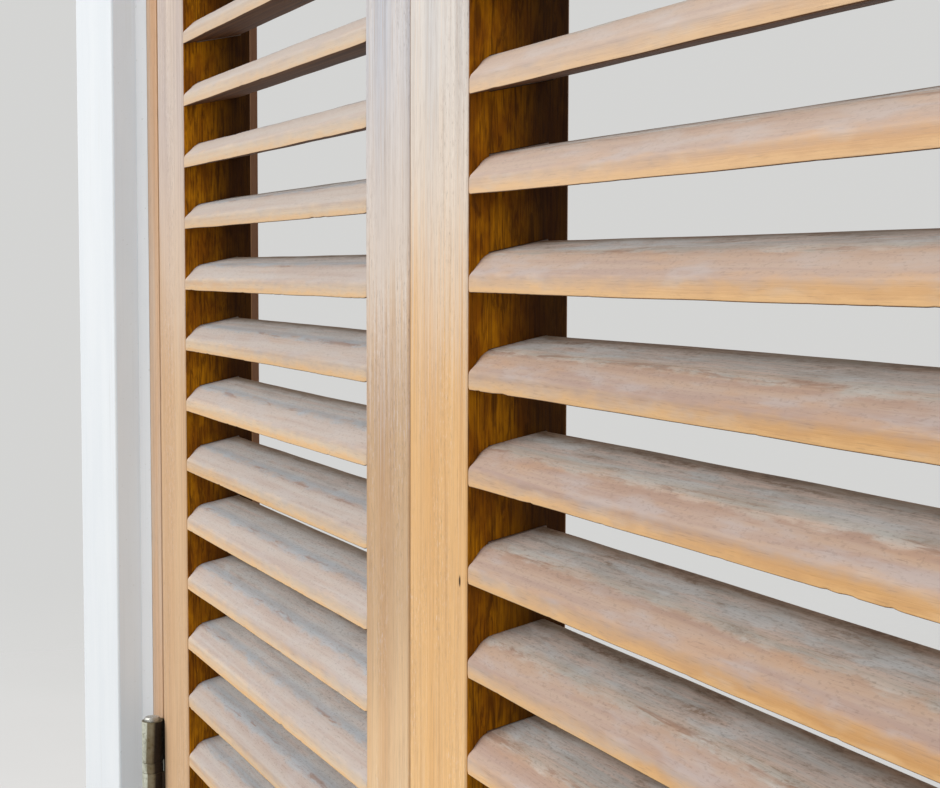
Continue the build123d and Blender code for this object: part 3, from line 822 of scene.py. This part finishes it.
def lining_screws(rng, name):
    """Four screws in one side's upright lining, and one in its half of the sill and head linings."""
    side = SIDES[name]
    upright = [
        screw(rng, LINING_SCREW, (side * LINING_X, LINING_SCREW_Y, z), (-side, 0, 0))
        for z in LINING_SCREW_HEIGHTS
    ]
    level = [
        screw(rng, LINING_SCREW, (side * POST_X / 2, LINING_SCREW_Y, z), (0, 0, up))
        for z, up in ((SILL_FACE, 1), (HEAD_FACE, -1))
    ]
    return upright + level


def bolt_screws(rng, name):
    """Four screws in each bolt case of a leaf and two in each of its keepers."""
    x = bolt_x(name)
    in_leaf = [
        screw(rng, BOLT_SCREW, (x + i * CASE_SCREW_X, CASE_FACE, middle + j * CASE_SCREW_Z), (0, 1, 0))
        for middle in CASE_MIDDLES for i in (-1, 1) for j in (-1, 1)
    ]
    in_frame = [
        screw(rng, BOLT_SCREW, (x + i * KEEPER_SCREW_X, BOLT_Y, z), (0, 0, up))
        for z, up in KEEPER_FACES for i in (-1, 1)
    ]
    return in_frame, in_leaf


def knobs(name):
    form = turned([(radius * MM, height * MM) for radius, height in KNOB_PROFILE], 32)
    for level, z in KNOB_HEIGHTS.items():
        place_all(f"{name}_{level}_knob", f"{name}_{level}_bolt", ROD_STEEL,
                  [(form, (bolt_x(name), BOLT_Y, z), (0, 1, 0))])


def leaf_pegs(rng, name):
    """Two pegs through each tenon of a leaf's rails, seen at the front and at the back."""
    side = SIDES[name]
    inner, outer = inner_edges(name)
    return [
        peg(rng, LEAF_PEG, (x, y, middle + step * LEAF_PEG_STEP), (0, facing, 0))
        for x in (inner - side * LEAF_PEG_INSET, outer + side * LEAF_PEG_INSET)
        for middle in (LEAF_BOTTOM + RAIL_MIDDLE, LEAF_TOP - RAIL_MIDDLE)
        for step in (-1, 1)
        for y, facing in ((LEAF_FRONT, -1), (LEAF_BACK, 1))
    ]


def frame_pegs(rng):
    """Two pegs through each tenon of the sill and the head, seen at the front and at the back."""
    heights = [*FRAME_PEG_INSETS, *(POST_HEIGHT - inset for inset in reversed(FRAME_PEG_INSETS))]
    return [
        peg(rng, FRAME_PEG, (side * FRAME_PEG_X, face * POST_FRONT, z), (0, face, 0))
        for side in SIDES.values() for face in (-1, 1) for z in heights
    ]


def small_fixings():
    """Screws, pegs and knobs, with those of one body and kind in one mesh."""
    rng = random.Random(5)
    frame_screws = []
    for name in SIDES:
        leaf = f"{name}_leaf"
        hinge_in_frame, hinge_in_leaf = hinge_screws(rng, name)
        in_lining = lining_screws(rng, name)
        bolt_in_frame, bolt_in_leaf = bolt_screws(rng, name)
        frame_screws += hinge_in_frame + in_lining + bolt_in_frame
        knobs(name)
        place_all(f"{leaf}_screw_heads", leaf, SCREW_METAL, hinge_in_leaf + bolt_in_leaf)
        place_all(f"{leaf}_peg_ends", leaf, PEG_WOOD, leaf_pegs(rng, name))
    place_all("frame_screw_heads", "frame", SCREW_METAL, frame_screws)
    place_all("frame_peg_ends", "frame", PAINT_UPRIGHT, frame_pegs(rng))


small_fixings()


def pale_floor():
    """A floor that looks pale, throws little light up at the part and fades out into the surround."""
    size = FLOOR_SIZE
    corners = [(-size, -size, 0), (size, -size, 0), (size, size, 0), (-size, size, 0)]
    floor = mesh_object("floor", corners, [(0, 1, 2, 3)], None, smooth=False)
    floor.location.z = -FLOOR_DROP
    s = Shade("studio_floor")
    mottle = s.step(s.noise(s.place, 3, 3), 0.3, 0.7)
    looks = s.mix(mottle, (0.66, 0.65, 0.635, 1), (0.68, 0.67, 0.655, 1))
    s.finish(s.mix(s.seen_as_background(), (0.30, 0.29, 0.27, 1), looks), 0.8)
    faded = s.step(s.length(s.place), 1.0, 3.4)
    clear = s.add("ShaderNodeBsdfTransparent")
    blend = s.add("ShaderNodeMixShader", {0: faded, 1: s.shader.outputs[0], 2: clear})
    s.feed(s.tree.nodes["Material Output"], "Surface", blend)
    dress(floor, s.material)


def studio_world():
    """A pale surround, and its light, which is a little cooler from the front and stronger from above."""
    world = bpy.data.worlds.new("studio")
    bpy.context.scene.world = world
    world.use_nodes = True
    s = Nodes(world.node_tree)
    direction = s.add("ShaderNodeTexCoord", out="Generated")
    sky = s.mix(s.ramp(s.axis(direction, "Y"), -0.45, 0.35), SKY_FRONT, SKY_BACK)
    strength = s.ramp(s.axis(direction, "Z"), 0.15, 0.65, SKY_LOW, SKY_HIGH)
    light = s.add("ShaderNodeVectorMath", {0: sky, "Scale": strength}, operation="SCALE")
    s.feed(s.tree.nodes["Background"], "Color", s.mix(s.seen_as_background(), light, SURROUND))


def soft_lamps():
    """A soft key from the front left and a fill from the right."""
    for name, place, aim, power, width, colour in LAMPS:
        lamp = bpy.data.lights.new(name, "AREA")
        lamp.energy, lamp.size, lamp.color = power, width, colour
        obj = bpy.data.objects.new(name, lamp)
        bpy.context.scene.collection.objects.link(obj)
        obj.location = place
        obj.rotation_mode = "QUATERNION"
        obj.rotation_quaternion = (Vector(aim) - Vector(place)).to_track_quat("-Z", "Y")


def photo_camera():
    """The camera at the photograph's viewing angle."""
    yaw, pitch, roll = (math.radians(turn) for turn in (CAMERA_YAW, CAMERA_PITCH, CAMERA_ROLL))
    ahead = Vector((-math.sin(yaw) * math.cos(pitch), math.cos(yaw) * math.cos(pitch), -math.sin(pitch)))
    right = Vector((math.cos(yaw), math.sin(yaw), 0.0))
    up = right.cross(ahead)
    across = right * math.cos(roll) + up * math.sin(roll)
    upward = up * math.cos(roll) - right * math.sin(roll)
    camera = bpy.data.cameras.new("camera")
    camera.lens, camera.sensor_width, camera.sensor_fit = CAMERA_LENS, CAMERA_SENSOR, "HORIZONTAL"
    camera.clip_start = 0.01
    obj = bpy.data.objects.new("camera", camera)
    bpy.context.scene.collection.objects.link(obj)
    turn = Matrix((across, upward, -ahead)).transposed()
    obj.matrix_world = Matrix.Translation(CAMERA_PLACE) @ turn.to_4x4()
    bpy.context.scene.camera = obj


pale_floor()
studio_world()
soft_lamps()
photo_camera()
bpy.context.scene.view_settings.view_transform = "Standard"
